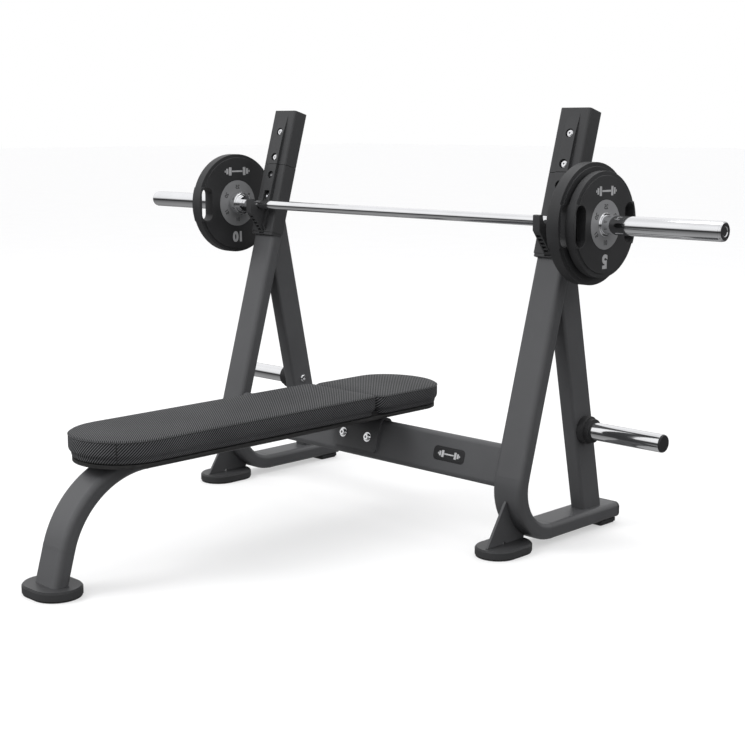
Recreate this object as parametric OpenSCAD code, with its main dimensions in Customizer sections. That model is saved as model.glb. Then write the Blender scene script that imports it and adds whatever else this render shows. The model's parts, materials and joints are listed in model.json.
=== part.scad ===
// Olympic bench press: rack frame, bench, racked barbell and loaded plates.
// +X runs along the bar, -Y is the foot end of the bench, +Z is up.
// The origin is on the floor under the middle of the outline.

/* [Frame] */
// distance between the centres of the two uprights
upright_span = 1144; // [1040:2:1180]
// width of the bent frame tube, along the bar
tube_w = 94; // [80:1:110]
// depth of the bent frame tube
tube_d = 44; // [36:1:60]
// wall of every frame tube
tube_wall = 3; // [2:0.5:5]
// corner radius of the frame tube
tube_r = 14; // [6:1:18]
// backward lean of uprights and front leg, in degrees
lean = 16; // [8:1:20]
// radius of the floor bend, to the middle of the tube
bend_r = 128; // [110:1:150]
// height of the runner above the floor
runner_lift = 14; // [8:1:24]
// length of the straight upright above the bend
upright_len = 988; // [800:2:1100]
// width of the rear strut, along the bar
strut_w = 46; // [36:1:60]
// depth of the rear strut
strut_d = 84; // [60:1:100]
// lean of the rear strut, in degrees
strut_lean = 11.7; // [8:0.1:16]

/* [Crossbeam] */
// height of the crossbeam tube
beam_h = 116; // [90:1:140]
// depth of the crossbeam tube
beam_d = 36; // [32:1:60]
// half width of the bolted centre saddle
saddle_half = 88; // [60:1:120]
// how far the saddle stands proud of the beams
saddle_lift = 8; // [4:0.5:12]

/* [Bench] */
// half width of the pad
pad_half = 143; // [120:1:160]
// top of the main pad above the floor
pad_top = 372; // [360:1:460]
// how much lower the head pad is
head_drop = 4; // [0:1:12]
// depth of the spine tube under the pad
spine_d = 43; // [36:1:60]
// radius of the leg bend, to the middle of the tube
leg_bend_r = 251; // [180:1:280]

/* [Barbell] */
// full length of the bar
bar_len = 2200; // [2200:1:2200]
// height of the bar axis when racked
bar_z = 869; // [840:1:1040]
// radius of the grip shaft
shaft_r = 14; // [12.5:0.1:16]
// radius of the loading sleeve
sleeve_r = 24.7; // [24.5:0.05:25]
// running clearance between sleeve and shaft
run_gap = 0.05; // [0.02:0.01:0.1]
// distance from the middle to the outer face of the flange
flange_x = 676; // [655:1:690]

/* [Plates] */
// radius of the larger plate
plate10_r = 156.5; // [140:0.5:170]
// radius of the smaller plate
plate5_r = 135; // [110:0.5:140]
// radius of the bore in every plate
bore_r = 25.3; // [25:0.1:26]

/* [Storage pegs] */
// radius of the storage peg tube
peg_r = 24.5; // [23:0.1:25]
// distance from the middle to the outer end of a peg
peg_end_x = 852; // [760:1:920]

/* [Hidden] */
front_reach = 1238;
rear_reach = 312;
bar_y = (front_reach - rear_reach) / 2;
half_span = upright_span / 2;
bend_y = -1;
bend_z = runner_lift + tube_d / 2 + bend_r;
tan_y = bend_y - bend_r * cos(lean);
tan_z = bend_z + bend_r * sin(lean);
runner_z = runner_lift + tube_d / 2;
runner_end = rear_reach - 12;
cover_w = tube_w + 5;
cover_front = -tube_d / 2 - 13;
cover_back = tube_d / 2 - 8;
cover_z0 = 589;
cover_joint = 815.5;
cover_top = 993;
bolt_s = [711.5, 781, 839, 922];
ridge_w = 39;
bolt_seat = cover_front - 0.2;
peg_y = 162;
peg_z = 289;
leg_lean = 16;
spine_top = 313;
leg_y = -911;
leg_z = spine_top - spine_d / 2 - leg_bend_r;
leg_tan_y = leg_y - leg_bend_r * cos(leg_lean);
leg_tan_z = leg_z + leg_bend_r * sin(leg_lean);
spine_end = -66;
foot_h = 26;
sole_h = 5;
rack_foot_y = -156;
rack_foot_r = 59;
rack_foot_half = 27;
front_foot_r = 63;
front_foot_half = 19;
front_foot_y = -front_reach + front_foot_r;
beam_low_y = -147.5;
beam_low_z = 172;
beam_joint = saddle_half - 6;
pad_foot_y = -947;
pad_split = -186;
pad_head_y = 20;
pad_head_b = 117;
tray_z0 = 301;
board_z0 = 307;
board_z1 = 322;
cushion_z0 = 310.6;
pad_mid = 331;
hook_w = 22;
bumper_len = 33;
sleeve_in = 640;
plate10_back = 51;
plate10_rim = 37;
plate5_t = 30;
steel = [0.33, 0.34, 0.35];
cover_grey = [0.42, 0.43, 0.44];
black = [0.08, 0.08, 0.09];
chrome = [0.8, 0.82, 0.84];
pad_grey = [0.25, 0.26, 0.27];
disc_grey = [0.55, 0.56, 0.57];

// ---------- shared shapes ----------

// Everything below is drawn with the bar axis over Y = 0.
module at_bar() {
    translate([0, bar_y, 0]) children();
}

module on_side(side) {
    mirror([side < 0 ? 1 : 0, 0, 0]) translate([half_span, 0, 0]) children();
}

module rounded(w, d, r) {
    square([w - 2 * r, d], center = true);
    square([w, d - 2 * r], center = true);
    for (x = [-1, 1], y = [-1, 1])
        translate([x * (w / 2 - r), y * (d / 2 - r)]) circle(r = r, $fn = 48);
}

module ring_profile(w, d, r, wall) {
    difference() {
        rounded(w, d, r);
        rounded(w - 2 * wall, d - 2 * wall, r - wall);
    }
}

// Turns a shape drawn in XY with height Z into the YZ plane with width X.
module to_yz() {
    rotate([90, 0, 90]) children();
}

module bent(radius, a0, sweep) {
    to_yz() rotate([0, 0, a0]) rotate_extrude(angle = sweep, $fn = 96)
        translate([radius, 0]) children();
}

// Frame of the upright: Z along the tube from the bend, -Y is its front.
module on_upright() {
    translate([0, tan_y, tan_z]) rotate([-lean, 0, 0]) children();
}

module stadium(r, half, along_x) {
    turn = along_x ? 0 : 90;
    rotate([0, 0, turn]) {
        square([2 * half, 2 * r], center = true);
        for (s = [-1, 1]) translate([s * half, 0]) circle(r = r, $fn = 72);
    }
}

module rod_x(x0, x1, r) {
    translate([x0, 0, 0]) rotate([0, 90, 0]) cylinder(r = r, h = x1 - x0, $fn = 64);
}

// ---------- side frames ----------

// One bent run: runner, floor bend and leaning upright, as a solid bar.
module upright_run(inset, extra) {
    w = tube_w - 2 * inset;
    d = tube_d - 2 * inset;
    r = tube_r - inset;
    on_upright() linear_extrude(upright_len + extra) rounded(w, d, r);
    translate([0, bend_y, bend_z]) bent(bend_r, 180 - lean, 90 + lean) rounded(d, w, r);
    translate([0, bend_y, runner_z]) rotate([-90, 0, 0])
        linear_extrude(runner_end - bend_y + extra) rounded(w, d, r);
    on_upright() joint_block(w, d, r);
}

// A short weld-like sleeve that closes the joint between straight and bent tube.
module joint_band(w, d, r) {
    translate([0, 0, -3]) linear_extrude(6)
        ring_profile(w + 0.6, d + 0.6, r + 0.3, tube_wall + 0.6);
}

module joint_block(w, d, r) {
    translate([0, 0, -3.2]) linear_extrude(6.4) rounded(w + 0.7, d + 0.7, r + 0.35);
}

module upright_shape() {
    w = tube_w;
    d = tube_d;
    on_upright() {
        linear_extrude(upright_len) ring_profile(w, d, tube_r, tube_wall);
        joint_band(w, d, tube_r);
    }
    translate([0, bend_y, bend_z]) bent(bend_r, 180 - lean, 90 + lean)
        ring_profile(d, w, tube_r, tube_wall);
    translate([0, bend_y, runner_z]) rotate([-90, 0, 0]) {
        linear_extrude(runner_end - bend_y) ring_profile(w, d, tube_r, tube_wall);
        joint_band(w, d, tube_r);
    }
}

module runner_cap_shape() {
    inner_w = tube_w - 2 * tube_wall - 1;
    inner_d = tube_d - 2 * tube_wall - 1;
    translate([0, runner_end, runner_z]) rotate([-90, 0, 0]) {
        linear_extrude(8) rounded(tube_w, tube_d, tube_r);
        translate([0, 0, 8]) linear_extrude(4) rounded(tube_w - 8, tube_d - 8, tube_r - 4);
        translate([0, 0, -20]) linear_extrude(20) rounded(inner_w, inner_d, tube_r - tube_wall);
    }
}

module strut_solid(inset) {
    w = strut_w - 2 * inset;
    d = strut_d - 2 * inset;
    translate([0, peg_y, peg_z]) rotate([strut_lean, 0, 0])
        translate([0, 0, -300]) linear_extrude(960) rounded(w, d, 9 - inset);
}

module strut_shape() {
    difference() {
        strut_solid(0);
        strut_solid(tube_wall);
        upright_run(0, 0);
        translate([-strut_w / 2 - 1, peg_y, peg_z]) rotate([0, 90, 0])
            cylinder(r = 6.1, h = 8, $fn = 32);
        translate([-60, -200, -100]) cube([120, 600, 100 + runner_z]);
        on_upright() translate([-60, -400, 0]) cube([120, 400, 1200]);
    }
}

module gusset_shape() {
    difference() {
        translate([-4, 0, 0]) to_yz() linear_extrude(8)
            polygon([[-227, foot_h], [-76, foot_h], [-70, 50], [-100, 90], [-120, 140],
                     [-152, 140], [-157, 134]]);
        upright_run(0, 0);
        translate([-10, -158, foot_h]) rotate([0, 90, 0]) cylinder(r = 6, h = 20, $fn = 32);
    }
}

module foot_shape(r, half, along_x) {
    translate([0, 0, sole_h]) linear_extrude(foot_h - sole_h - 4) stadium(r, half, along_x);
    translate([0, 0, foot_h - 4]) linear_extrude(2) stadium(r - 1.5, half, along_x);
    translate([0, 0, foot_h - 2]) linear_extrude(2) stadium(r - 3.5, half, along_x);
}

module sole_shape(r, half, along_x) {
    linear_extrude(sole_h) stadium(r - 2, half, along_x);
}

module rear_foot_shape() {
    translate([0, 266, 0]) {
        linear_extrude(4) rounded(74, 66, 6);
        translate([0, 0, 4]) linear_extrude(runner_lift - 4) rounded(82, 72, 8);
    }
}

// ---------- upright covers and bar hooks ----------

module cover_outline() {
    depth = cover_back - cover_front;
    translate([0, cover_front + depth / 2]) {
        difference() {
            rounded(cover_w, depth, 7);
            translate([-cover_w / 2 - 1, depth / 2 - 8]) square([cover_w + 2, 10]);
        }
        translate([-cover_w / 2, 0]) square([cover_w, depth / 2]);
    }
}

module tube_clearance() {
    gap = 0.2;
    rounded(tube_w + 2 * gap, tube_d + 2 * gap, tube_r + gap);
    translate([-tube_w / 2 - gap, 0]) square([tube_w + 2 * gap, tube_d]);
}

// Ridge down the middle of the covers: it grows out of the face near the top and deepens downward.
module ridge(z0, z1) {
    intersection() {
        translate([-ridge_w / 2, 0, 0]) to_yz() linear_extrude(ridge_w)
            polygon([[cover_front + 3, 979], [cover_front, 979], [cover_front - 7.5, 914],
                     [cover_front - 9, 840], [cover_front - 10.5, cover_z0 + 26],
                     [cover_front, cover_z0 + 12], [cover_front + 3, cover_z0 + 12]]);
        translate([-60, -100, z0]) cube([120, 120, z1 - z0]);
    }
}

module bolt_pockets(list) {
    for (s = list)
        translate([0, bolt_seat, s]) rotate([90, 0, 0]) cylinder(r = 12, h = 20, $fn = 48);
}

module cover_upper_shape() {
    on_upright() difference() {
        union() {
            translate([0, 0, cover_joint + 1]) linear_extrude(cover_top - cover_joint - 1) cover_outline();
            translate([0, 0, cover_top - 3.5]) linear_extrude(3.5) rounded(tube_w, tube_d, tube_r);
            ridge(cover_joint + 1, 990);
        }
        translate([0, 0, cover_joint]) linear_extrude(cover_top - cover_joint - 3.5) tube_clearance();
        bolt_pockets([bolt_s[2], bolt_s[3]]);
        bolt_shanks([bolt_s[2], bolt_s[3]], 5.1);
    }
}

module cover_lower_shape() {
    on_upright() difference() {
        union() {
            translate([0, 0, cover_z0 + 9]) linear_extrude(cover_joint - cover_z0 - 9) cover_outline();
            translate([0, 0, cover_z0]) linear_extrude(9) cover_lip();
            ridge(cover_z0, cover_joint);
        }
        translate([0, 0, cover_z0 - 1]) linear_extrude(cover_joint - cover_z0 + 2) tube_clearance();
        bolt_pockets([bolt_s[0], bolt_s[1]]);
        bolt_shanks([bolt_s[0], bolt_s[1]], 5.1);
        hook_slot();
    }
}

module cover_lip() {
    depth = cover_back - cover_front - 4;
    translate([0, cover_front + 2 + depth / 2]) rounded(cover_w - 3, depth, 6);
}

module bolt_shanks(list, r) {
    for (s = list)
        translate([0, bolt_seat + 6, s]) rotate([90, 0, 0]) cylinder(r = r, h = 12, $fn = 32);
}

module hook_slot() {
    w = hook_w + 0.4;
    translate([-w / 2, cover_front - 60, cover_z0 + 2]) cube([w, 120, 138]);
}

module hook_shape() {
    difference() {
        translate([-hook_w / 2, 0, 0]) to_yz() linear_extrude(hook_w)
            polygon([[-44, 847], [-38, 839], [12, 776], [24, 790], [45, 867], [48, 886],
                     [30, 887.5], [-31, 887.5], [-42, 887.5], [-44, 885.5]]);
        translate([-30, 0, bar_z + 15.95]) rotate([0, 90, 0])
            cylinder(r = 30, h = 60, $fn = 72);
        on_upright() linear_extrude(upright_len) rounded(tube_w, tube_d, tube_r);
        on_upright() bolt_pockets([bolt_s[0]]);
        on_upright() bolt_shanks([bolt_s[0]], 5.1);
        for (i = [0:4]) hook_pocket(i);
    }
}

// Blind pockets cut into the slanted underside.
module hook_pocket(i) {
    translate([-7, 0, 0]) to_yz() linear_extrude(14)
        translate([-38, 839]) rotate([0, 0, -51.6]) translate([6 + i * 13, -1]) square([9, 7]);
}

module cover_bolt_set() {
    on_upright() for (s = bolt_s)
        translate([0, bolt_seat, s]) rotate([90, 0, 0]) bolt_head(9, 5, 5, 0.9);
}

// Button head on +Z with a hexagon socket, and a shank down -Z.
module bolt_head(r, h, shank_r, shank) {
    difference() {
        union() {
            cylinder(r = r, h = h * 0.5, $fn = 48);
            cylinder(r = r * 0.8, h = h, $fn = 48);
        }
        translate([0, 0, h * 0.35]) linear_extrude(h) hexagon(r * 0.38);
    }
    translate([0, 0, -shank]) cylinder(r = shank_r, h = shank + 0.01, $fn = 32);
}

module hexagon(r) {
    polygon([for (i = [0:5]) [r * cos(60 * i), r * sin(60 * i)]]);
}

// ---------- crossbeam ----------

// Frame of the crossbeam: X along it, Y through its depth, Z up its height.
module on_beam() {
    translate([0, beam_low_y, beam_low_z]) rotate([-lean, 0, 0])
        translate([0, beam_d / 2, beam_h / 2]) children();
}

module beam_run(x0, x1, grow, wall) {
    on_beam() translate([x0, 0, 0]) rotate([90, 0, 90]) linear_extrude(x1 - x0)
        if (wall > 0) ring_profile(beam_d + grow, beam_h + grow, 14 + grow / 2, wall);
        else rounded(beam_d + grow, beam_h + grow, 14 + grow / 2);
}

module crossbeam_shape() {
    difference() {
        union() {
            beam_run(beam_joint + 0.2, half_span - 10, 0, tube_wall);
            beam_run(beam_joint + 0.2, beam_joint + 6, 0, 0);
        }
        translate([half_span, 0, 0]) upright_run(0, 0);
        on_beam() badge_cut();
    }
}

module badge_cut() {
    translate([356, -beam_d / 2 + 1.4, -1]) rotate([90, 0, 0])
        linear_extrude(5) rounded(112.6, 39.6, 12);
}

module badge_shape() {
    on_beam() translate([356, -beam_d / 2 + 1.4, -1]) rotate([90, 0, 0]) {
        linear_extrude(0.9) rounded(112, 39, 11.7);
        linear_extrude(1.6) rounded(104, 31, 8);
    }
}

// Short tube between the two beams, with a thick plate folded over it and over their ends.
module saddle_shape() {
    difference() {
        union() {
            beam_run(-beam_joint, beam_joint, 0, 6);
            difference() {
                saddle_plate();
                for (s = [0, 1]) mirror([s, 0, 0]) beam_run(beam_joint, saddle_half + 1, 0.4, 0);
                beam_run(-beam_joint - 0.1, beam_joint + 0.1, -6, 0);
            }
        }
        spine_run(0, spine_end);
        saddle_bolt_places() translate([0, 0, -20]) cylinder(r = 6.1, h = 30, $fn = 32);
    }
}

module saddle_plate() {
    intersection() {
        beam_run(-saddle_half, saddle_half, 2 * saddle_lift, 0);
        on_beam() translate([0, 100, 30]) rotate([90, 0, 0]) linear_extrude(200)
            rounded(2 * saddle_half, 140, 10);
    }
}

module saddle_bolt_places() {
    for (x = [-49, 49])
        on_beam() translate([x, -beam_d / 2 - saddle_lift, 0]) rotate([90, 0, 0]) children();
}

module saddle_bolt_set() {
    saddle_bolt_places() {
        difference() {
            cylinder(r = 14, h = 2, $fn = 48);
            translate([0, 0, -1]) cylinder(r = 5, h = 4, $fn = 32);
        }
        translate([0, 0, 2]) bolt_head(10.5, 6.5, 6, 30);
    }
}

// ---------- leg, spine and bench ----------

// One bent run: front leg, big bend and spine under the pad, as a solid bar.
module spine_run(inset, end) {
    w = tube_w - 2 * inset;
    d = spine_d - 2 * inset;
    r = tube_r - inset;
    translate([0, leg_y, spine_top - spine_d / 2]) rotate([-90, 0, 0])
        linear_extrude(end - leg_y) rounded(w, d, r);
    translate([0, leg_y, leg_z]) bent(leg_bend_r, 90, 90 - leg_lean) rounded(d, w, r);
    translate([0, leg_tan_y, leg_tan_z]) rotate([-leg_lean, 0, 0])
        translate([0, 0, -140]) linear_extrude(140) rounded(w, d, r);
    translate([0, leg_y, spine_top - spine_d / 2]) rotate([-90, 0, 0]) joint_block(w, d, r);
}

module spine_shape() {
    w = tube_w;
    d = spine_d;
    difference() {
        union() {
            translate([0, leg_y, spine_top - d / 2]) rotate([-90, 0, 0]) {
                linear_extrude(spine_end - leg_y) ring_profile(w, d, tube_r, tube_wall);
                translate([0, 0, spine_end - leg_y - 4]) linear_extrude(4) rounded(w, d, tube_r);
                joint_band(w, d, tube_r);
            }
            translate([0, leg_y, leg_z]) bent(leg_bend_r, 90, 90 - leg_lean)
                ring_profile(d, w, tube_r, tube_wall);
            translate([0, leg_tan_y, leg_tan_z]) rotate([-leg_lean, 0, 0]) {
                translate([0, 0, -140]) linear_extrude(140) ring_profile(w, d, tube_r, tube_wall);
                joint_band(w, d, tube_r);
            }
        }
        translate([-100, -1400, -100]) cube([200, 400, 100 + foot_h]);
    }
}

module half_oval(a, b, n) {
    polygon([for (i = [0:n]) [a * cos(180 * i / n), b * sin(180 * i / n)]]);
}

module pad_main_outline(inset) {
    a = pad_half - inset;
    y1 = pad_split - 1 - inset;
    r = 22;
    translate([0, pad_foot_y]) circle(r = a, $fn = 120);
    translate([-a, pad_foot_y]) square([2 * a, y1 - r - pad_foot_y]);
    translate([-a + r, pad_foot_y]) square([2 * a - 2 * r, y1 - pad_foot_y]);
    for (s = [-1, 1]) translate([s * (a - r), y1 - r]) circle(r = r, $fn = 48);
}

module pad_head_outline(inset) {
    a = pad_half - inset;
    y0 = pad_split + 1 + inset;
    r = 36;
    translate([0, pad_head_y]) half_oval(a, pad_head_b - inset, 48);
    translate([-a, y0 + r]) square([2 * a, pad_head_y - y0 - r + 0.01]);
    translate([-a + r, y0]) square([2 * a - 2 * r, r + 1]);
    for (s = [-1, 1]) translate([s * (a - r), y0 + r]) circle(r = r, $fn = 48);
}

// One outline for both cushions, without the notch between them.
module board_outline(inset) {
    a = pad_half - inset;
    translate([0, pad_foot_y]) circle(r = a, $fn = 120);
    translate([-a, pad_foot_y]) square([2 * a, pad_head_y - pad_foot_y]);
    translate([0, pad_head_y - 0.1]) half_oval(a, pad_head_b - inset, 48);
}

// Board with a flange under the cushions and a rim that hangs down all round.
module pad_board_shape() {
    difference() {
        union() {
            translate([0, 0, board_z0]) linear_extrude(board_z1 - board_z0) board_outline(24);
            translate([0, 0, board_z0]) linear_extrude(cushion_z0 - 0.2 - board_z0) board_outline(10);
            translate([0, 0, tray_z0]) linear_extrude(8) difference() {
                board_outline(10);
                board_outline(15);
            }
        }
        spine_run(0, spine_end);
        pad_screw_places() cylinder(r = 4.05, h = 17.3, $fn = 32);
    }
}

module cushion_cut() {
    translate([0, 0, cushion_z0 - 1]) linear_extrude(board_z1 + 1.2 - cushion_z0) board_outline(23.8);
}

module pad_main_shape() {
    difference() {
        union() {
            translate([0, 0, pad_mid]) linear_extrude(pad_top - pad_mid) pad_main_outline(0);
            translate([0, 0, cushion_z0]) linear_extrude(pad_mid - cushion_z0) pad_main_outline(8);
        }
        cushion_cut();
    }
}

module pad_head_shape() {
    difference() {
        union() {
            translate([0, 0, pad_mid]) linear_extrude(pad_top - head_drop - pad_mid)
                pad_head_outline(0);
            translate([0, 0, cushion_z0]) linear_extrude(pad_mid - cushion_z0) pad_head_outline(8);
        }
        cushion_cut();
    }
}

bracket_y = [-820, -330];

module pad_bracket_set() {
    difference() {
        for (y = bracket_y, s = [-1, 1])
            translate([s * (tube_w / 2 + 22), y, board_z0 - 6]) linear_extrude(6) rounded(60, 60, 5);
        spine_run(0, spine_end);
        pad_screw_places() cylinder(r = 4.2, h = 20, $fn = 32);
    }
}

// Screws stand on Z = 0, which is where the head starts.
module pad_screw_places() {
    for (y = bracket_y, s = [-1, 1])
        translate([s * (tube_w / 2 + 34), y, board_z0 - 10]) children();
}

module pad_screw_set() {
    pad_screw_places() {
        cylinder(r = 7, h = 4, $fn = 32);
        cylinder(r = 4, h = 17, $fn = 32);
    }
}

// ---------- storage pegs ----------

module at_peg() {
    translate([0, peg_y, peg_z]) children();
}

module peg_tube_shape() {
    x0 = half_span + strut_w / 2;
    at_peg() difference() {
        union() {
            rod_x(x0, peg_end_x - 5, peg_r - 0.6);
            rod_x(x0 + bumper_len + 0.5, peg_end_x - 5, peg_r);
        }
        rod_x(x0 + 6, peg_end_x, peg_r - 3.5);
    }
}

module peg_bumper_shape() {
    x0 = half_span + strut_w / 2;
    at_peg() difference() {
        union() {
            rod_x(x0 + 0.1, x0 + 18, 39);
            rod_x(x0 + 17, x0 + 20, 37);
            rod_x(x0 + 19, x0 + bumper_len, 33);
        }
        rod_x(x0 - 1, x0 + 40, peg_r - 0.5);
    }
}

module peg_cap_shape() {
    at_peg() {
        rod_x(peg_end_x - 5, peg_end_x - 1.5, peg_r - 0.8);
        rod_x(peg_end_x - 2, peg_end_x, peg_r - 2);
        rod_x(peg_end_x - 18, peg_end_x - 5, peg_r - 3.6);
    }
}

module peg_bolt_shape() {
    x0 = half_span - strut_w / 2;
    translate([x0, peg_y, peg_z]) rotate([0, -90, 0]) bolt_head(12, 6, 6, 6);
}

// ---------- barbell ----------

module at_bar_axis() {
    translate([0, 0, bar_z]) children();
}

module bar_shaft_shape() {
    at_bar_axis() {
        rod_x(-sleeve_in + 1, sleeve_in - 1, shaft_r);
        for (s = [-1, 1]) mirror([s < 0 ? 1 : 0, 0, 0]) rod_x(sleeve_in - 2, bar_len / 2 - 8, shaft_r - 1);
    }
}

module sleeve_shape() {
    end = bar_len / 2 - 5;
    at_bar_axis() difference() {
        union() {
            rod_x(sleeve_in, end - 1.5, sleeve_r);
            rod_x(end - 2, end, sleeve_r - 1.5);
            rod_x(sleeve_in + 14, flange_x, 36);
            rod_x(sleeve_in + 10, sleeve_in + 15, 33);
            rod_x(sleeve_in + 4, sleeve_in + 11, 28);
        }
        rod_x(sleeve_in - 2, end + 2, shaft_r - 1 + run_gap);
        rod_x(bar_len / 2 - 20, end + 2, 17);
    }
}

module sleeve_cap_shape() {
    at_bar_axis() difference() {
        union() {
            rod_x(bar_len / 2 - 6, bar_len / 2 - 5, 16.9);
            rod_x(bar_len / 2 - 5, bar_len / 2 - 1.5, sleeve_r - 1);
            rod_x(bar_len / 2 - 2, bar_len / 2, sleeve_r - 3);
        }
        rod_x(bar_len / 2 - 1.2, bar_len / 2 + 1, 12);
    }
}

// ---------- weight plates ----------

// A plate lies with its back on X = 0 and its marked face toward +X.
module plate_shape(r, back, rim, slot_y, slot_w, slot_len, hub_r) {
    face = back + rim;
    grip = slot_len / 2 + 2;
    difference() {
        union() {
            rod_x(back, face, r - 11);
            rod_x(back, back + 4, r - 3);
            rod_x(back + 3, face - 3, r);
            rod_x(0.5, back + 1, hub_r + 6);
            intersection() {
                rod_x(back, face, r);
                translate([back, -r - 1, -grip]) cube([rim, 2 * r + 2, 2 * grip]);
            }
        }
        rod_x(face - 1.6, face + 1, hub_r + 0.1);
        rod_x(-1, face + 1, bore_r + 5);
        for (s = [-1, 1]) translate([back - 1, s * slot_y, 0]) slot_cut(rim + 2, slot_w, slot_len);
    }
}

module slot_cut(t, w, len) {
    to_yz() linear_extrude(t) {
        square([w, len - w], center = true);
        for (z = [-1, 1]) translate([0, z * (len - w) / 2]) circle(r = w / 2, $fn = 48);
    }
}

module hub_shape(face, hub_r) {
    difference() {
        rod_x(face - 1.5, face + 0.4, hub_r);
        rod_x(face - 3, face + 2, bore_r + 5.1);
    }
}

module ring_shape(face) {
    difference() {
        union() {
            rod_x(0, face + 0.6, bore_r + 4.9);
            rod_x(face + 0.4, face + 1.5, bore_r + 4);
        }
        rod_x(-1, face + 3, bore_r);
    }
}

module place_plate(x) {
    translate([x, 0, bar_z]) children();
}

plate10_face = plate10_back;
left10_x = -flange_x - plate10_back - 1.6;
right10_x = flange_x + 0.1;
right5_x = right10_x + plate10_back + 1.7;

module plate10_shape() {
    plate_shape(plate10_r, plate10_back - plate10_rim, plate10_rim, 125, 42, 104, 73);
}

module plate5_shape() {
    plate_shape(plate5_r, 3, plate5_t - 3, 105, 40, 105, 63);
}

// ---------- nodes ----------

module upright_left() { color(steel) at_bar() on_side(-1) upright_shape(); }
module upright_right() { color(steel) at_bar() on_side(1) upright_shape(); }
module runner_cap_left() { color(black) at_bar() on_side(-1) runner_cap_shape(); }
module runner_cap_right() { color(black) at_bar() on_side(1) runner_cap_shape(); }
module rear_strut_left() { color(steel) at_bar() on_side(-1) strut_shape(); }
module rear_strut_right() { color(steel) at_bar() on_side(1) strut_shape(); }
module foot_gusset_left() { color(steel) at_bar() on_side(-1) gusset_shape(); }
module foot_gusset_right() { color(steel) at_bar() on_side(1) gusset_shape(); }

module rack_foot(side) {
    color(steel) at_bar() on_side(side) translate([0, rack_foot_y, 0])
        foot_shape(rack_foot_r, rack_foot_half, false);
}

module rack_sole(side) {
    color(black) at_bar() on_side(side) translate([0, rack_foot_y, 0])
        sole_shape(rack_foot_r, rack_foot_half, false);
}

module rack_foot_left() { rack_foot(-1); }
module rack_foot_right() { rack_foot(1); }
module rack_sole_left() { rack_sole(-1); }
module rack_sole_right() { rack_sole(1); }
module rear_foot_left() { color(black) at_bar() on_side(-1) rear_foot_shape(); }
module rear_foot_right() { color(black) at_bar() on_side(1) rear_foot_shape(); }
module cover_upper_left() { color(cover_grey) at_bar() on_side(-1) cover_upper_shape(); }
module cover_upper_right() { color(cover_grey) at_bar() on_side(1) cover_upper_shape(); }
module cover_lower_left() { color(cover_grey) at_bar() on_side(-1) cover_lower_shape(); }
module cover_lower_right() { color(cover_grey) at_bar() on_side(1) cover_lower_shape(); }
module bar_hook_left() { color(cover_grey) at_bar() on_side(-1) hook_shape(); }
module bar_hook_right() { color(cover_grey) at_bar() on_side(1) hook_shape(); }
module cover_bolts() { color(chrome) at_bar() for (s = [-1, 1]) on_side(s) cover_bolt_set(); }
module crossbeam_left() { color(steel) at_bar() mirror([1, 0, 0]) crossbeam_shape(); }
module crossbeam_right() { color(steel) at_bar() crossbeam_shape(); }
module beam_saddle() { color(steel) at_bar() saddle_shape(); }
module saddle_bolts() { color(chrome) at_bar() saddle_bolt_set(); }
module badge_plate() { color(black) at_bar() badge_shape(); }
module spine_tube() { color(steel) at_bar() spine_shape(); }

module front_foot() {
    color(steel) at_bar() translate([0, front_foot_y, 0])
        foot_shape(front_foot_r, front_foot_half, true);
}

module front_sole() {
    color(black) at_bar() translate([0, front_foot_y, 0])
        sole_shape(front_foot_r, front_foot_half, true);
}

module pad_board() { color(black) at_bar() pad_board_shape(); }
module pad_main() { color(pad_grey) at_bar() pad_main_shape(); }
module pad_head() { color(pad_grey) at_bar() pad_head_shape(); }
module pad_brackets() { color(steel) at_bar() pad_bracket_set(); }
module pad_screws() { color(chrome) at_bar() pad_screw_set(); }
module peg_tube_left() { color(chrome) at_bar() mirror([1, 0, 0]) peg_tube_shape(); }
module peg_tube_right() { color(chrome) at_bar() peg_tube_shape(); }
module peg_bumper_left() { color(black) at_bar() mirror([1, 0, 0]) peg_bumper_shape(); }
module peg_bumper_right() { color(black) at_bar() peg_bumper_shape(); }
module peg_cap_left() { color(black) at_bar() mirror([1, 0, 0]) peg_cap_shape(); }
module peg_cap_right() { color(black) at_bar() peg_cap_shape(); }

module peg_bolts() {
    color(chrome) at_bar() for (s = [0, 1]) mirror([s, 0, 0]) peg_bolt_shape();
}

module bar_shaft() { color(chrome) at_bar() bar_shaft_shape(); }
module sleeve_left() { color(chrome) at_bar() mirror([1, 0, 0]) sleeve_shape(); }
module sleeve_right() { color(chrome) at_bar() sleeve_shape(); }
module sleeve_cap_left() { color(chrome) at_bar() mirror([1, 0, 0]) sleeve_cap_shape(); }
module sleeve_cap_right() { color(chrome) at_bar() sleeve_cap_shape(); }
module plate10_left() { color(black) at_bar() place_plate(left10_x) plate10_shape(); }
module hub10_left() { color(disc_grey) at_bar() place_plate(left10_x) hub_shape(plate10_face, 73); }
module ring10_left() { color(chrome) at_bar() place_plate(left10_x) ring_shape(plate10_face); }
module plate10_right() { color(black) at_bar() place_plate(right10_x) plate10_shape(); }
module hub10_right() { color(disc_grey) at_bar() place_plate(right10_x) hub_shape(plate10_face, 73); }
module ring10_right() { color(chrome) at_bar() place_plate(right10_x) ring_shape(plate10_face); }
module plate5_right() { color(black) at_bar() place_plate(right5_x) plate5_shape(); }
module hub5_right() { color(disc_grey) at_bar() place_plate(right5_x) hub_shape(plate5_t, 63); }
module ring5_right() { color(chrome) at_bar() place_plate(right5_x) ring_shape(plate5_t); }

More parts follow.
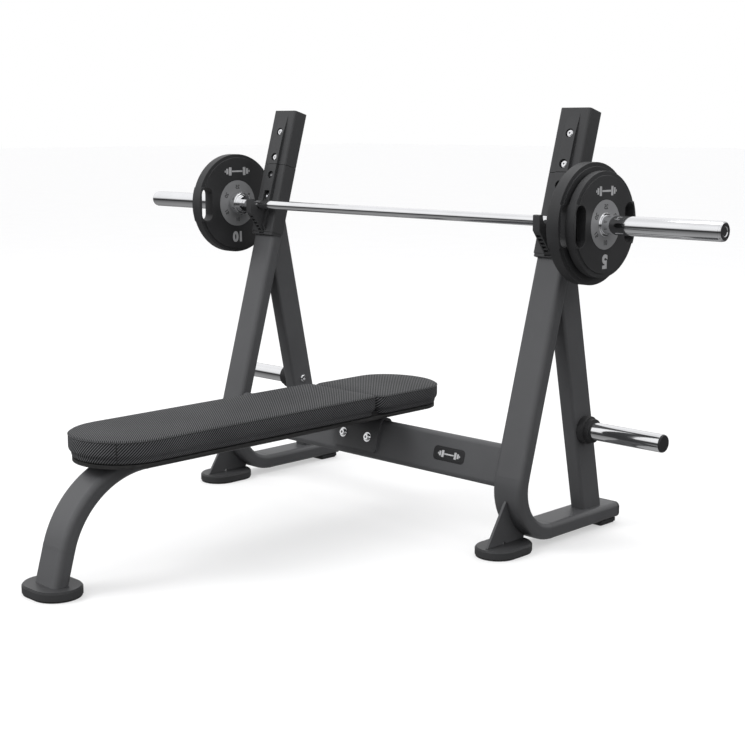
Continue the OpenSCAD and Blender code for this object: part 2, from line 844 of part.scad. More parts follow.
upright_left();
upright_right();
runner_cap_left();
runner_cap_right();
rear_strut_left();
rear_strut_right();
foot_gusset_left();
foot_gusset_right();
rack_foot_left();
rack_foot_right();
rack_sole_left();
rack_sole_right();
rear_foot_left();
rear_foot_right();
cover_upper_left();
cover_upper_right();
cover_lower_left();
cover_lower_right();
bar_hook_left();
bar_hook_right();
cover_bolts();
crossbeam_left();
crossbeam_right();
beam_saddle();
saddle_bolts();
badge_plate();
spine_tube();
front_foot();
front_sole();
pad_board();
pad_main();
pad_head();
pad_brackets();
pad_screws();
peg_tube_left();
peg_tube_right();
peg_bumper_left();
peg_bumper_right();
peg_cap_left();
peg_cap_right();
peg_bolts();
bar_shaft();
sleeve_left();
sleeve_right();
sleeve_cap_left();
sleeve_cap_right();
plate10_left();
hub10_left();
ring10_left();
plate10_right();
hub10_right();
ring10_right();
plate5_right();
hub5_right();
ring5_right();
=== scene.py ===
import json
import math

import bmesh
import bpy
from mathutils import Matrix, Vector


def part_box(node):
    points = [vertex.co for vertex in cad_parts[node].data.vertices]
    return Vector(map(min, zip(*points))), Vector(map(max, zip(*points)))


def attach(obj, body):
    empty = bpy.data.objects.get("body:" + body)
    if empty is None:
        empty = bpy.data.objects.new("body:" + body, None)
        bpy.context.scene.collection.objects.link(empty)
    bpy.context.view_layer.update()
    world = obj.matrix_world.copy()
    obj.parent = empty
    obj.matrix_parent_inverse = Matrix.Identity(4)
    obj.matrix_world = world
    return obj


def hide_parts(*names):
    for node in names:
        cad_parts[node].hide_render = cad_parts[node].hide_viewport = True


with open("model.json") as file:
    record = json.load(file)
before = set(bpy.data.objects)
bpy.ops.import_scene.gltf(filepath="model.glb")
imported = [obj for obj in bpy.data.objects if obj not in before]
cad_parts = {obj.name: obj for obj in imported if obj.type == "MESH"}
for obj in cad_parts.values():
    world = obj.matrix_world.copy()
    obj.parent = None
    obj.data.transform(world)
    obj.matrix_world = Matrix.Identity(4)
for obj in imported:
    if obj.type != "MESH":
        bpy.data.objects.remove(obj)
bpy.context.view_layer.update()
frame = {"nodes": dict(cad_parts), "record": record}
nodes = frame["nodes"]
MM = 0.001


# ---------------------------------------------------------------- shader helpers

class Shader:
    """A material with one Principled shader, and short calls that add nodes to it."""

    def __init__(self, name, color, roughness, **sockets):
        self.mat = bpy.data.materials.new(name)
        self.mat.use_nodes = True
        self.tree = self.mat.node_tree
        self.bsdf = self.tree.nodes["Principled BSDF"]
        self.bsdf.inputs["Base Color"].default_value = (*color, 1)
        self.bsdf.inputs["Roughness"].default_value = roughness
        for key, value in sockets.items():
            self.bsdf.inputs[key.replace("_", " ")].default_value = value
        coords = self.tree.nodes.new("ShaderNodeTexCoord")
        self.where = coords.outputs["Object"]

    def link(self, source, socket):
        self.tree.links.new(source, socket)

    def put(self, value, socket):
        """Joins an output to a socket, or sets the socket to a number."""
        if isinstance(value, (int, float)):
            socket.default_value = value
        else:
            self.link(value, socket)

    def math(self, operation, *values):
        node = self.tree.nodes.new("ShaderNodeMath")
        node.operation = operation
        for i, value in enumerate(values):
            self.put(value, node.inputs[i])
        return node.outputs[0]

    def stretch(self, scale):
        node = self.tree.nodes.new("ShaderNodeMapping")
        node.inputs["Scale"].default_value = scale
        self.link(self.where, node.inputs["Vector"])
        return node.outputs[0]

    def noise(self, scale, detail=2.0, rough=0.5, vector=None):
        node = self.tree.nodes.new("ShaderNodeTexNoise")
        node.inputs["Scale"].default_value = scale
        node.inputs["Detail"].default_value = detail
        node.inputs["Roughness"].default_value = rough
        self.link(vector or self.where, node.inputs["Vector"])
        return node.outputs["Fac"]

    def voronoi(self, scale):
        node = self.tree.nodes.new("ShaderNodeTexVoronoi")
        node.inputs["Scale"].default_value = scale
        self.link(self.where, node.inputs["Vector"])
        return node.outputs["Distance"]

    def range(self, value, low, high, to_low, to_high):
        node = self.tree.nodes.new("ShaderNodeMapRange")
        for i, v in enumerate((value, low, high, to_low, to_high)):
            self.put(v, node.inputs[i])
        return node.outputs[0]

    def mix(self, factor, first, second):
        node = self.tree.nodes.new("ShaderNodeMix")
        node.data_type = "RGBA"
        self.put(factor, node.inputs["Factor"])
        for value, socket in ((first, node.inputs[6]), (second, node.inputs[7])):
            if isinstance(value, tuple):
                socket.default_value = (*value, 1)
            else:
                self.link(value, socket)
        return node.outputs[2]

    def axes(self):
        node = self.tree.nodes.new("ShaderNodeSeparateXYZ")
        self.link(self.where, node.inputs[0])
        return node.outputs

    def paint(self, value):
        self.link(value, self.bsdf.inputs["Base Color"])

    def rough(self, value):
        self.link(value, self.bsdf.inputs["Roughness"])

    def bump(self, height, strength, distance, before=None):
        node = self.tree.nodes.new("ShaderNodeBump")
        node.inputs["Strength"].default_value = strength
        node.inputs["Distance"].default_value = distance
        self.link(height, node.inputs["Height"])
        if before:
            self.link(before, node.inputs["Normal"])
        self.link(node.outputs[0], self.bsdf.inputs["Normal"])
        return node.outputs[0]


def shade(color, factor):
    return tuple(min(1.0, c * factor) for c in color)


def coated(name, color, roughness, peel, grain, gloss=0.5):
    """Painted or moulded skin: soft mottling, fine peel, small scuffs and a few rubbed spots."""
    s = Shader(name, color, roughness, Specular_IOR_Level=gloss)
    cloud = s.noise(5.0, 3.0)
    scuff = s.noise(26.0, 6.0, 0.7, s.stretch((1.0, 1.0, 0.35)))
    rubbed = s.range(scuff, 0.60, 0.78, 0.0, 1.0)
    base = s.mix(s.range(cloud, 0.3, 0.7, 0.0, 1.0), shade(color, 0.90), shade(color, 1.08))
    s.paint(s.mix(s.math("MULTIPLY", rubbed, 0.22), base, shade(color, 1.7)))
    fine = s.noise(peel, 2.0)
    level = s.range(cloud, 0.3, 0.7, roughness - 0.035, roughness + 0.04)
    s.rough(s.math("ADD", level, s.math("MULTIPLY", rubbed, -0.06)))
    first = s.bump(fine, grain, 0.0003)
    s.bump(s.noise(peel * 0.22, 1.0), grain * 0.5, 0.0006, first)
    return s.mat


def plated(name, color, roughness, along):
    """Bright plating with hairline polishing marks round the axis and faint handling haze."""
    s = Shader(name, color, roughness, Metallic=1.0)
    haze = s.noise(9.0, 4.0)
    lines = s.noise(60.0, 4.0, 0.6, s.stretch(along))
    s.paint(s.mix(s.range(haze, 0.35, 0.7, 0.0, 1.0), color, shade(color, 0.93)))
    s.rough(s.math("ADD", s.range(haze, 0.4, 0.75, roughness, roughness + 0.05),
                   s.math("MULTIPLY", lines, 0.03)))
    s.bump(lines, 0.05, 0.0001)
    return s.mat


def moulded_rubber(name, color, roughness, grain):
    """Matt rubber: grey bloom, tiny pits and a soft mottled sheen."""
    s = Shader(name, color, roughness)
    bloom = s.noise(7.0, 5.0, 0.6)
    pits = s.voronoi(620.0)
    s.paint(s.mix(s.range(bloom, 0.35, 0.72, 0.0, 1.0), shade(color, 0.85), shade(color, 1.3)))
    s.rough(s.range(bloom, 0.3, 0.7, roughness - 0.06, roughness + 0.07))
    first = s.bump(pits, grain, 0.0002)
    s.bump(s.noise(120.0, 3.0), grain * 0.6, 0.0004, first)
    return s.mat


def stained_board(name):
    s = Shader(name, (0.035, 0.034, 0.033), 0.6)
    grain = s.noise(30.0, 8.0, 0.65, s.stretch((6.0, 0.35, 6.0)))
    s.paint(s.mix(s.range(grain, 0.35, 0.65, 0.0, 1.0), (0.010, 0.010, 0.010), (0.034, 0.0335, 0.033)))
    s.rough(s.range(grain, 0.3, 0.7, 0.5, 0.72))
    s.bump(grain, 0.25, 0.0004)
    return s.mat


def ribbed_cover(name, side, tip, middle, reach, half):
    """Coated fabric with slanting woven ribs. On a side band the ribs run round the cushion from its tip."""
    # The side band's colours are lighter than the top's for the same fabric: painted light on the cushion's
    # upright sides.
    dark = (0.006, 0.0062, 0.007) if side else (0.003, 0.0031, 0.0036)
    light = (0.185, 0.187, 0.193) if side else (0.120, 0.122, 0.126)
    s = Shader(name, dark, 0.5, Specular_IOR_Level=0.16)
    x, y, z = s.axes()
    if side:
        centre = s.math("MINIMUM", s.math("MAXIMUM", y, middle - reach), middle + reach)
        turn = s.math("ARCTAN2", s.math("SUBTRACT", y, centre), s.math("ABSOLUTE", x))
        length = s.math("ADD", s.math("SUBTRACT", centre, tip), s.math("MULTIPLY", turn, half))
        along = s.math("MULTIPLY", s.math("SIGN", x), length)
        across = s.math("MULTIPLY", z, -1.0)
        pitch = BAND_RIB * math.sqrt(2)
    else:
        along, across = x, y
        pitch = TOP_RIB * math.sqrt(2)
    phase = s.math("MULTIPLY", s.math("ADD", along, across), 2 * math.pi / pitch)
    rib = s.range(s.math("SINE", phase), -1.0, 1.0, 0.0, 1.0)
    weft = s.math("MULTIPLY", s.math("SUBTRACT", along, across), 2 * math.pi / WEFT)
    thread = s.range(s.math("SINE", weft), -1.0, 1.0, 0.0, 1.0)
    cloud = s.noise(6.0, 4.0)
    worn = s.range(cloud, 0.35, 0.7, 0.88, 1.1)
    tone = s.math("MULTIPLY", s.math("POWER", rib, 2.2), worn)
    tone = s.math("MULTIPLY", tone, s.range(thread, 0.0, 1.0, 0.8, 1.0))
    s.paint(s.mix(tone, dark, light))
    s.rough(s.range(rib, 0.0, 1.0, 0.66, 0.5))
    height = s.math("ADD", rib, s.math("MULTIPLY", thread, 0.2))
    s.bump(height, 0.55, 0.0006)
    return s.mat


def printed(name, color):
    s = Shader(name, color, 0.5)
    cloud = s.noise(40.0, 4.0)
    s.paint(s.mix(s.range(cloud, 0.3, 0.7, 0.0, 1.0), shade(color, 0.88), shade(color, 1.08)))
    s.rough(s.range(cloud, 0.3, 0.7, 0.42, 0.58))
    s.bump(s.noise(900.0, 2.0), 0.1, 0.0001)
    return s.mat


# distances between the ribs on the top and on the side band, and between the cross threads
TOP_RIB = 4.8 * MM
BAND_RIB = 5.4 * MM
WEFT = 2.2 * MM
# how far the rounded end of the head cushion bows out, and the radii of the corners where the cushions meet
HEAD_BOW = 117 * MM
MAIN_CORNER = 22 * MM
HEAD_CORNER = 36 * MM
pad_lo, pad_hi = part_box("pad_main")
head_lo, head_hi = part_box("pad_head")
pad_half = pad_hi.x
foot_centre = pad_lo.y + pad_half
head_centre = head_hi.y - HEAD_BOW
band_middle = (foot_centre + head_centre) / 2
band_reach = (head_centre - foot_centre) / 2
tip_length = foot_centre - pad_half * math.pi / 2

MATERIALS = {
    "frame_steel": coated("powder_coat", (0.078, 0.079, 0.082), 0.44, 900.0, 0.16, 0.45),
    # The feet take a darker copy of the frame's powder coat: painted shade on the feet.
    "foot_coat_shaded": coated("foot_coat_shaded", (0.040, 0.0405, 0.042), 0.44, 1100.0, 0.16, 0.45),
    "cover": coated("cover_skin", (0.042, 0.0425, 0.044), 0.47, 1300.0, 0.18, 0.4),
    "rubber_black": moulded_rubber("rubber_black", (0.016, 0.016, 0.017), 0.62, 0.25),
    "plastic_black": coated("plastic_black", (0.02, 0.02, 0.021), 0.42, 1500.0, 0.2),
    "chrome": plated("chrome_plate", (0.9, 0.905, 0.915), 0.035, (1.0, 0.06, 0.06)),
    "board": stained_board("stained_board"),
    "upholstery": ribbed_cover("ribbed_top", False, tip_length, band_middle, band_reach, pad_half),
    "band": ribbed_cover("ribbed_band", True, tip_length, band_middle, band_reach, pad_half),
    "plate_rubber": moulded_rubber("plate_rubber", (0.024, 0.0243, 0.0255), 0.5, 0.22),
    "hub_disc": coated("hub_disc", (0.25, 0.252, 0.257), 0.38, 1400.0, 0.1),
    "print": printed("pale_print", (0.46, 0.462, 0.468)),
    "engraved": printed("dark_print", (0.05, 0.0505, 0.052)),
    "thread": printed("seam_thread", (0.018, 0.0183, 0.019)),
}


def dress(obj, *materials):
    obj.data.materials.clear()
    for m in materials:
        obj.data.materials.append(m)


# ---------------------------------------------------------------- mesh helpers

# edges that turn by more than this angle are hard edges
CREASE = math.radians(38)
# points closer together than this are one point
WELD = 2e-6


def add_object(name, data):
    obj = bpy.data.objects.new(name, data)
    bpy.context.scene.collection.objects.link(obj)
    return obj


def new_object(name, bm):
    mesh = bpy.data.meshes.new(name)
    bm.to_mesh(mesh)
    bm.free()
    return add_object(name, mesh)


def flattened(obj):
    """The object's shape with its modifiers worked in, as a plain mesh."""
    graph = bpy.context.evaluated_depsgraph_get()
    return bpy.data.meshes.new_from_object(obj.evaluated_get(graph))


def apply_modifiers(obj):
    mesh = flattened(obj)
    obj.modifiers.clear()
    obj.data = mesh


def curve_mesh(name, curve):
    temp = add_object(name + "_curve", curve)
    mesh = flattened(temp)
    bpy.data.objects.remove(temp)
    mesh.name = name
    return mesh


def wall(bm, low, high):
    """Faces between two closed loops with the same number of points."""
    for i in range(len(low)):
        j = (i + 1) % len(low)
        bm.faces.new((low[i], low[j], high[j], high[i]))


def finish_piece(obj, slot, body, node=None, material=None):
    dress(obj, MATERIALS[material or slot])
    obj.data.polygons.foreach_set("use_smooth", [True] * len(obj.data.polygons))
    obj.data.set_sharp_from_angle(angle=CREASE)
    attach(obj, body)
    if node:
        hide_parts(node)
    return obj


def rounded_copy(node, body, slot, radius):
    """The CAD piece with its hard edges rolled over, as a moulded, cast or ground part has them."""
    bm = bmesh.new()
    bm.from_mesh(nodes[node].data)
    bmesh.ops.remove_doubles(bm, verts=bm.verts, dist=WELD)
    bmesh.ops.dissolve_limit(bm, angle_limit=math.radians(0.4), verts=bm.verts, edges=bm.edges)
    edges = [e for e in bm.edges if len(e.link_faces) == 2 and e.calc_face_angle(0.0) > CREASE]
    bmesh.ops.bevel(bm, geom=edges, offset=radius, offset_type="OFFSET", segments=3,
                    profile=0.5, affect="EDGES", clamp_overlap=True)
    bmesh.ops.remove_doubles(bm, verts=bm.verts, dist=WELD)
    obj = new_object(node + "_detail", bm)
    finish_piece(obj, slot, body, node)
    weight = obj.modifiers.new("weighted", "WEIGHTED_NORMAL")
    weight.keep_sharp = True
    return obj


def tube_along(name, points, radius, slot, material, body, closed=True):
    """A round bead along a path, such as a seam, a welt or a weld."""
    curve = bpy.data.curves.new(name, "CURVE")
    curve.dimensions = "3D"
    curve.bevel_depth = radius
    curve.bevel_resolution = 3
    spline = curve.splines.new("POLY")
    spline.points.add(len(points) - 1)
    for p, q in zip(spline.points, points):
        p.co = (*q, 1)
    spline.use_cyclic_u = closed
    return finish_piece(add_object(name, curve_mesh(name, curve)), slot, body, material=material)


# ---------------------------------------------------------------- bench cushions

def arc(cx, cy, r, a0, a1, n):
    return [(cx + r * math.cos(math.radians(a0 + (a1 - a0) * i / n)),
             cy + r * math.sin(math.radians(a0 + (a1 - a0) * i / n))) for i in range(n + 1)]


def main_outline(inset):
    a = pad_half - inset
    y1 = pad_hi.y - inset
    r = MAIN_CORNER
    path = arc(0, foot_centre, a, 180, 360, 48)
    path += arc(a - r, y1 - r, r, 0, 90, 10)
    path += arc(-a + r, y1 - r, r, 90, 180, 10)
    return path


def head_outline(inset):
    a = pad_half - inset
    b = HEAD_BOW - inset
    y0 = head_lo.y + inset
    r = HEAD_CORNER
    path = arc(-a + r, y0 + r, r, 180, 270, 12)
    path += arc(a - r, y0 + r, r, 270, 360, 12)
    path += [(a * math.cos(math.radians(t)), head_centre + b * math.sin(math.radians(t)))
             for t in range(0, 181, 5)]
    return path


def resample(path, step):
    """Points at even steps along a closed path."""
    loop = path + [path[0]]
    out = []
    carry = 0.0
    for (x0, y0), (x1, y1) in zip(loop, loop[1:]):
        length = math.hypot(x1 - x0, y1 - y0)
        while carry < length - 1e-9:
            t = carry / length
            out.append((x0 + (x1 - x0) * t, y0 + (y1 - y0) * t))
            carry += step
        carry -= length
    return out


def stacked(rings):
    """A closed solid through outlines with the same number of points, from bottom to top."""
    bm = bmesh.new()
    loops = [[bm.verts.new((x, y, z)) for x, y in outline] for outline, z in rings]
    for low, high in zip(loops, loops[1:]):
        wall(bm, low, high)
    bm.faces.new(list(reversed(loops[0])))
    bm.faces.new(loops[-1])
    return bm


# air pressure inside a cushion, and the number of steps it has to settle
PRESSURE = 4.0
FRAMES = 20


def puff(obj, pinned, limit):
    """Cloth under light pressure between the sewn lines, with each point's travel held to limit."""
    mesh = obj.data
    before = [v.co.copy() for v in mesh.vertices]
    group = obj.vertex_groups.new(name="sewn")
    group.add([v.index for v in mesh.vertices if pinned(v.co)], 1.0, "REPLACE")
    cloth = obj.modifiers.new("Cloth", "CLOTH")
    cloth.settings.use_pressure = True
    cloth.settings.uniform_pressure_force = PRESSURE
    cloth.settings.vertex_group_mass = "sewn"
    cloth.settings.effector_weights.gravity = 0.0
    cloth.settings.quality = 4
    cloth.point_cache.frame_end = FRAMES
    for f in range(1, FRAMES + 1):
        bpy.context.scene.frame_set(f)
    graph = bpy.context.evaluated_depsgraph_get()
    after = [v.co.copy() for v in obj.evaluated_get(graph).data.vertices]
    obj.modifiers.remove(cloth)
    obj.vertex_groups.clear()
    bpy.context.scene.frame_set(1)
    for v, a, b in zip(mesh.vertices, before, after):
        move = b - a
        if move.length > 1e-9:
            v.co = a + move * (limit * math.tanh(move.length / limit) / move.length)


def remeshed(obj, voxel):
    mod = obj.modifiers.new("Remesh", "REMESH")
    mod.mode = "VOXEL"
    mod.voxel_size = voxel
    smooth = obj.modifiers.new("Smooth", "SMOOTH")
    smooth.factor = 0.5
    smooth.iterations = 2
    apply_modifiers(obj)


# height of the seam between the two layers of a cushion
SEAM_Z = 329 * MM
# how far the cover lies inside the nominal outline, and how far a point of it may travel
SKIN = 1.2 * MM
MAX_PUFF = 3.8 * MM
# points round each layer, and the size of the cells of the cover's mesh
OUTLINE_POINTS = 420
VOXEL = 4.5 * MM


def edge_distance(path, x, y):
    """Distance from a point to a closed path."""
    best = 1.0
    loop = path + [path[0]]
    for (x0, y0), (x1, y1) in zip(loop, loop[1:]):
        dx, dy = x1 - x0, y1 - y0
        size = dx * dx + dy * dy
        t = 0.0 if size < 1e-12 else max(0.0, min(1.0, ((x - x0) * dx + (y - y0) * dy) / size))
        best = min(best, math.hypot(x - x0 - t * dx, y - y0 - t * dy))
    return best


def cushion(name, outline, lo, hi, cad_node):
    """A loft from the underside to the crown, filled out by cloth pressure between its sewn lines."""
    top, base = hi.z, lo.z
    # an inset and a height for each level: lower layer, step at the seam, upper layer, edge of the crown
    layers = [
        (0.014, base), (0.0105, base + 0.0008), (0.0088, base + 0.003), (0.0082, base + 0.006),
        (0.0082, SEAM_Z - 0.003), (0.0078, SEAM_Z - 0.0008), (0.0040, SEAM_Z + 0.0002),
        (0.0014, SEAM_Z + 0.0010), (SKIN, SEAM_Z + 0.004), (SKIN, top - 0.0075),
        (SKIN + 0.0005, top - 0.0042), (SKIN + 0.0016, top - 0.0018), (SKIN + 0.0034, top - 0.0006),
        (SKIN + 0.0060, top - 0.0001),
    ]
    rings = []
    for inset, z in layers:
        path = outline(inset)
        length = sum(math.dist(p, q) for p, q in zip(path, path[1:] + path[:1]))
        rings.append((resample(path, length / OUTLINE_POINTS * (1 + 1e-9))[:OUTLINE_POINTS], z))
    body = new_object(name, stacked(rings))
    remeshed(body, VOXEL)
    edge = outline(SKIN)

    def sewn(co):
        if co.z < base + 0.004:
            return True
        if abs(co.z - SEAM_Z) < 0.004:
            return True
        return co.z > top - 0.0085 and edge_distance(edge, co.x, co.y) < 0.0065

    puff(body, sewn, MAX_PUFF)
    sub = body.modifiers.new("Subdivision", "SUBSURF")
    sub.levels = sub.render_levels = 1
    apply_modifiers(body)
    body.data.update()
    dress(body, MATERIALS["upholstery"], MATERIALS["band"])
    for p in body.data.polygons:
        p.use_smooth = True
        # upward faces near the crown take the top's colours and the rest the band's lighter colours, which
        # are painted light on the sides
        p.material_index = 0 if p.normal.z > 0.6 and p.center.z > top - 0.004 else 1
    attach(body, "frame")
    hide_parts(cad_node)
    # The step seam is a sewn line; its thick dark bead also stands for the shade in the crease between the
    # layers, painted shade.
    for tag, inset, z, r in (("edge_seam", SKIN + 0.0002, top - 0.0050, 0.0009),
                             ("step_seam_and_shade", 0.0072, SEAM_Z - 0.0010, 0.0018)):
        line = [(x, y, z) for x, y in resample(outline(inset), 0.004)]
        tube_along(f"{name}_{tag}", line, r, "upholstery", "thread", "frame")


def band_join(side):
    """The upright join in the side band, at the rounded foot end."""
    turn = math.radians(45)
    path = []
    for inset, z in ((0.0012, pad_hi.z - 0.006), (0.0010, pad_hi.z - 0.014), (0.0010, SEAM_Z + 0.006),
                     (0.0022, SEAM_Z + 0.001), (0.0078, SEAM_Z - 0.002), (0.0080, pad_lo.z + 0.003)):
        r = pad_half - inset
        path.append((side * r * math.cos(turn), foot_centre - r * math.sin(turn), z))
    tube_along(f"band_join_{side + 1}", path, 0.0011, "upholstery", "thread", "frame", False)


band_join(1)
band_join(-1)
cushion("pad_main_cushion", main_outline, pad_lo, pad_hi, "pad_main")
cushion("pad_head_cushion", head_outline, head_lo, head_hi, "pad_head")


# ---------------------------------------------------------------- hard parts

BODY = {n: b for b, members in frame["record"]["behaviour"]["bodies"].items() for n in members}
SLOT = {row["node"]: row["material_slot"] for row in frame["record"]["subparts"]}
# edge radius in millimetres by the start of a piece's name, where the longest match counts
EDGE = {
    "foot_gusset": 0.9, "rack_foot": 1.6, "front_foot": 1.6, "rack_sole": 1.2, "front_sole": 1.2,
    "rear_foot": 1.5, "runner_cap": 1.2, "cover_upper": 1.4, "cover_lower": 1.4, "bar_hook": 1.3,
    "cover_bolts": 0.5, "beam_saddle": 1.2, "saddle_bolts": 0.5, "badge_plate": 0.5, "pad_board": 1.0,
    "pad_brackets": 0.8, "pad_screws": 0.5, "peg_bumper": 1.6, "peg_cap": 0.8, "peg_bolts": 0.6,
    "sleeve": 0.8, "plate": 1.6, "hub": 0.35, "ring": 0.5, "peg_tube": 0.6, "rear_strut": 0.8,
    "crossbeam": 0.6,
}
for name, obj in nodes.items():
    dress(obj, MATERIALS[SLOT[name]])
    if name in ("pad_main", "pad_head"):
        continue
    match = [k for k in EDGE if name.startswith(k)]
    if match:
        piece = rounded_copy(name, BODY[name], SLOT[name], EDGE[max(match, key=len)] * MM)
        # the feet get the darker copy of the powder coat, painted shade
        if name.startswith(("rack_foot", "front_foot")):
            dress(piece, MATERIALS["foot_coat_shaded"])


# ---------------------------------------------------------------- plate markings and badge

def flat_mesh(name, shapes, origin, right, up, out, thick):
    """Thin raised marks from polygons drawn in millimetres, on the plane through origin."""
    bm = bmesh.new()
    for shape in shapes:
        low = [bm.verts.new(origin + right * (x * MM) + up * (y * MM)) for x, y in shape]
        high = [bm.verts.new(v.co + out * thick) for v in low]
        bm.faces.new(list(reversed(low)))
        bm.faces.new(high)
        wall(bm, low, high)
    bmesh.ops.recalc_face_normals(bm, faces=bm.faces)
    return new_object(name, bm)


def text_piece(name, words, size, origin, right, up, thick, slot, material, body, bold=0.03):
    """A raised number, centred on origin."""
    curve = bpy.data.curves.new(name, "FONT")
    curve.body = words
    curve.size = size
    curve.align_x = "CENTER"
    curve.align_y = "CENTER"
    curve.extrude = thick / 2
    curve.bevel_depth = thick * 0.2
    curve.offset = size * bold
    mesh = curve_mesh(name, curve)
    out = right.cross(up)
    turn = Matrix((right, up, out)).transposed().to_4x4()
    mesh.transform(Matrix.Translation(origin) @ turn)
    return finish_piece(add_object(name, mesh), slot, body, material=material)


def dumbbell(width, height):
    """A plain pictogram: a handle with two weights at each end."""
    w, h = width / 2, height / 2
    marks = [[(-w * 0.42, -h * 0.2), (w * 0.42, -h * 0.2), (w * 0.42, h * 0.2), (-w * 0.42, h * 0.2)]]
    for s in (-1, 1):
        for a, b, tall in ((0.46, 0.66, 1.0), (0.72, 0.88, 0.68), (0.92, 1.0, 0.25)):
            xs = sorted((s * a * w, s * b * w))
            marks.append([(xs[0], -h * tall), (xs[1], -h * tall), (xs[1], h * tall), (xs[0], h * tall)])
    return marks


# plate, disc, number, its distance below the centre, its size, the mark's distance above the centre, its box
PLATES = (
    ("plate10_left", "hub10_left", "10", 106, 43, 102, (104, 26)),
    ("plate10_right", "hub10_right", "10", 106, 43, 102, (104, 26)),
    ("plate5_right", "hub5_right", "5", 92, 46, 85, (88, 24)),
)
TO_REAR = Vector((0, 1, 0))
UP = Vector((0, 0, 1))
OUT = Vector((1, 0, 0))
for plate, hub, words, down, size, above, mark in PLATES:
    lo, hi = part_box(plate)
    hub_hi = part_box(hub)[1]
    centre = Vector((hi.x - 0.1 * MM, (lo.y + hi.y) / 2, (lo.z + hi.z) / 2))
    body = BODY[plate]
    text_piece(plate + "_number", words, size * MM, centre - UP * down * MM, -TO_REAR, -UP,
               1.0 * MM, SLOT[plate], "print", body, 0.05)
    sign = flat_mesh(plate + "_mark", dumbbell(*mark), centre + UP * above * MM, TO_REAR, UP, OUT, 0.6 * MM)
    finish_piece(sign, SLOT[plate], body, material="print")
    ring = (hub_hi.z - centre.z) * 0.71
    for i, label in enumerate(("25", "20", "15", "10", "5", "2")):
        a = math.radians(90 + 60 * i)
        spoke = TO_REAR * math.cos(a) + UP * math.sin(a)
        side = spoke.cross(OUT)
        spot = Vector((hub_hi.x - 0.15 * MM, centre.y, centre.z)) + spoke * ring
        text_piece(f"{hub}_scale_{label}", label, 17 * MM, spot, -side, spoke, 0.4 * MM,
                   SLOT[hub], "engraved", body)

# The badge lies on the front face of the crossbeam, which leans back by 16 degrees.
lo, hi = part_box("badge_plate")
lean = math.radians(16)
out = Vector((0, -math.cos(lean), math.sin(lean)))
up = Vector((0, math.sin(lean), math.cos(lean)))
spot = (lo + hi) / 2 + out * 0.7 * MM
badge = flat_mesh("badge_mark", dumbbell(80, 19), spot, Vector((1, 0, 0)), up, out, 0.6 * MM)
finish_piece(badge, SLOT["badge_plate"], "frame", material="print")


# ---------------------------------------------------------------- floor, light and camera

def lit_floor(name, glow, albedo):
    """A pale floor that glows a little, so that the shadows on it stay faint."""
    s = Shader(name, albedo, 0.7)
    s.bsdf.inputs["Emission Color"].default_value = (1, 1, 1, 1)
    s.bsdf.inputs["Emission Strength"].default_value = glow
    s.rough(s.range(s.noise(3.0, 2.0), 0.3, 0.7, 0.66, 0.74))
    return s.mat


bm = bmesh.new()
bmesh.ops.create_grid(bm, x_segments=8, y_segments=8, size=60)
floor = new_object("floor", bm)
floor.location.z = -0.0005
floor.visible_diffuse = False
floor.visible_glossy = False
dress(floor, lit_floor("pale_floor", 0.46, (0.45, 0.45, 0.45)))


def area(name, place, target, size, power):
    light = bpy.data.lights.new(name, "AREA")
    light.energy = power
    light.shape = "RECTANGLE"
    light.size, light.size_y = size
    obj = add_object(name, light)
    obj.location = place
    obj.rotation_euler = (Vector(target) - Vector(place)).to_track_quat("-Z", "Y").to_euler()
    return obj


key = area("key", (-2.4, -4.2, 4.6), (0.0, 0.2, 0.6), (2.6, 2.2), 230.0)
key.visible_glossy = False
area("top", (0.2, 1.6, 4.8), (0.0, 0.2, 0.3), (3.6, 3.6), 60.0)

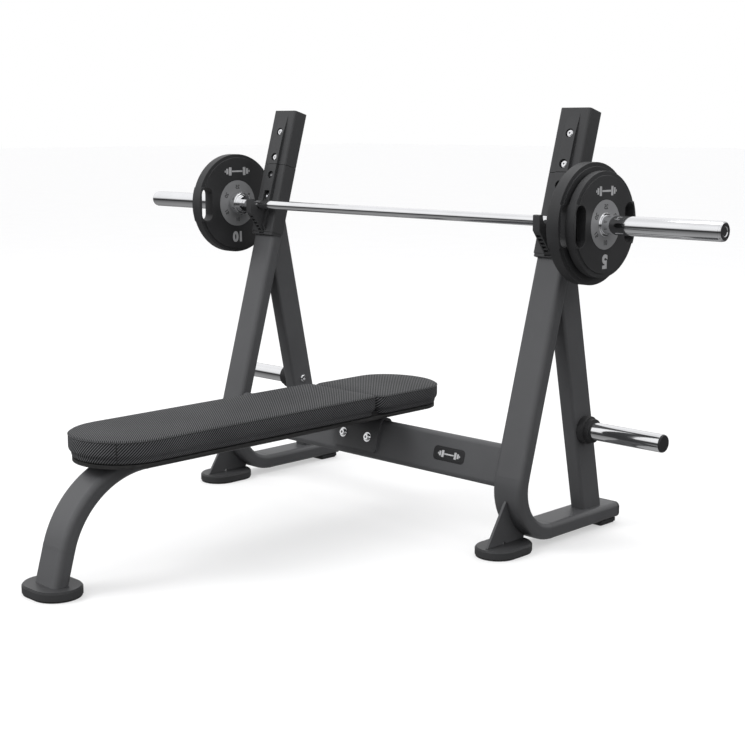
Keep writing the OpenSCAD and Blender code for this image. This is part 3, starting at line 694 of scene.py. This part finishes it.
world = bpy.data.worlds.new("studio")
bpy.context.scene.world = world
world.use_nodes = True
tree = world.node_tree
tree.nodes.clear()
output = tree.nodes.new("ShaderNodeOutputWorld")
blend = tree.nodes.new("ShaderNodeMixShader")
seen = tree.nodes.new("ShaderNodeBackground")
lit = tree.nodes.new("ShaderNodeBackground")
path = tree.nodes.new("ShaderNodeLightPath")
coords = tree.nodes.new("ShaderNodeTexCoord")
parts = tree.nodes.new("ShaderNodeSeparateXYZ")
height = tree.nodes.new("ShaderNodeMapRange")
ramp = tree.nodes.new("ShaderNodeValToRGB")
seen.inputs[0].default_value = (1, 1, 1, 1)
seen.inputs[1].default_value = 1.0
# diffuse surfaces get a little more light than mirrors show
gain = tree.nodes.new("ShaderNodeMath")
gain.operation = "MULTIPLY_ADD"
gain.inputs[1].default_value = 0.28
gain.inputs[2].default_value = 1.0
tree.links.new(path.outputs["Is Diffuse Ray"], gain.inputs[0])
tree.links.new(gain.outputs[0], lit.inputs[1])
for i, value in enumerate((-1.0, 1.0, 0.0, 1.0), start=1):
    height.inputs[i].default_value = value
# brightness of the surroundings from straight down, through the horizon at 0.5, to straight up
stops = ((0.0, 0.42), (0.30, 0.20), (0.42, 0.05), (0.50, 0.02),
         (0.53, 0.35), (0.60, 0.90), (0.80, 1.0), (1.0, 0.7))
while len(ramp.color_ramp.elements) < len(stops):
    ramp.color_ramp.elements.new(0.5)
for element, (position, level) in zip(ramp.color_ramp.elements, stops):
    element.position = position
    element.color = (level, level, level * 1.01, 1)
tree.links.new(coords.outputs["Generated"], parts.inputs[0])
tree.links.new(parts.outputs["Z"], height.inputs[0])
tree.links.new(height.outputs[0], ramp.inputs[0])
tree.links.new(ramp.outputs[0], lit.inputs[0])
tree.links.new(path.outputs["Is Camera Ray"], blend.inputs[0])
tree.links.new(lit.outputs[0], blend.inputs[1])
tree.links.new(seen.outputs[0], blend.inputs[2])
tree.links.new(blend.outputs[0], output.inputs[0])

bpy.context.scene.view_settings.view_transform = "Standard"
bpy.context.scene.view_settings.look = "None"
bpy.context.scene.view_settings.exposure = 0.0

lens = bpy.data.cameras.new("camera")
lens.lens = 67.7
lens.sensor_width = 36.0
camera = add_object("camera", lens)
camera.location = (2.826, -2.491, 1.1164)
camera.rotation_euler = (math.radians(80.0), 0.0, math.radians(44.4))
bpy.context.scene.camera = camera
